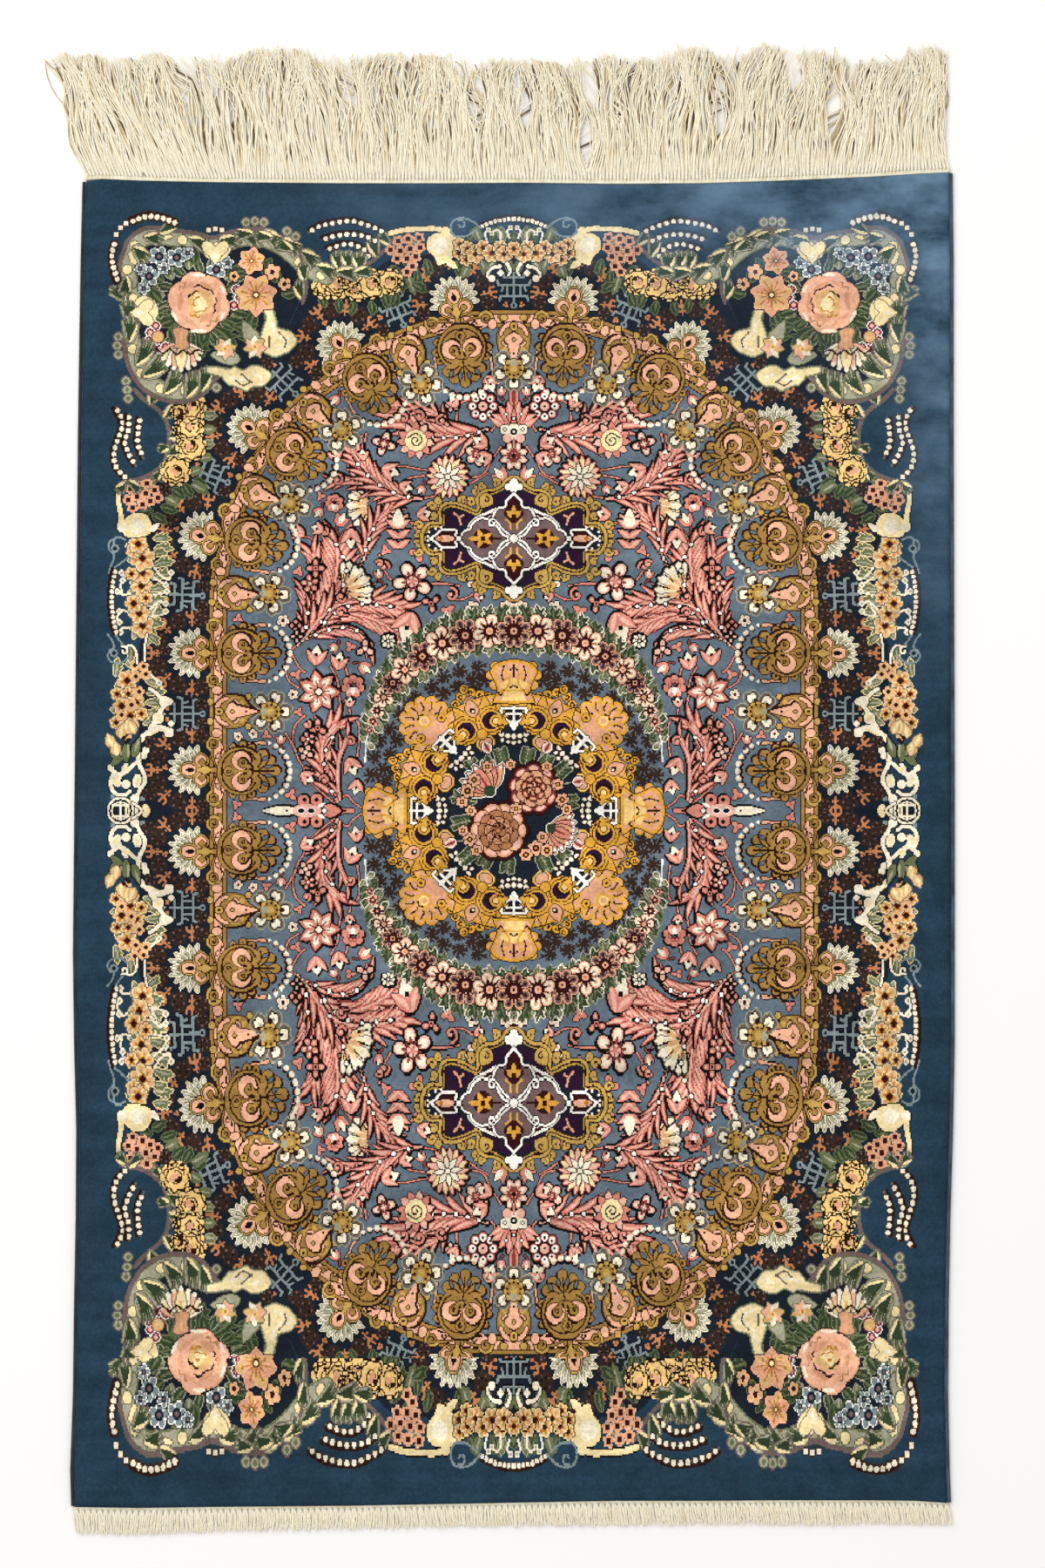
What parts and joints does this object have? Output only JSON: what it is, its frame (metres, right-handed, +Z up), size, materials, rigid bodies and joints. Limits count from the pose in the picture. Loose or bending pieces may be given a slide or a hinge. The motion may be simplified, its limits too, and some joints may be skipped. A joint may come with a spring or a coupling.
{
  "type": "persian rug",
  "caption": "Small knotted silk rug lying flat, floral medallion pattern on navy, bound sides, a long combed fringe at one end and a short one at the other.",
  "frame": {"origin": "middle of the woven body on its underside", "axes": "+Z up out of the pile, +Y along the rug towards the long fringe, +X across the rug"},
  "size_m": [0.8135, 1.3522, 0.004],
  "materials": {
    "silk_pile": "short knotted silk pile, satin sheen, navy ground with many colours",
    "silk_binding": "overcast silk cord, near-black navy",
    "silk_warp": "undyed cream silk warps, soft sheen"
  },
  "bodies": {
    "root": {"rug_body": "silk_pile", "side_cord_left": "silk_binding", "side_cord_right": "silk_binding", "fringe_long": "silk_warp", "fringe_short": "silk_warp"}
  },
  "joints": []
}
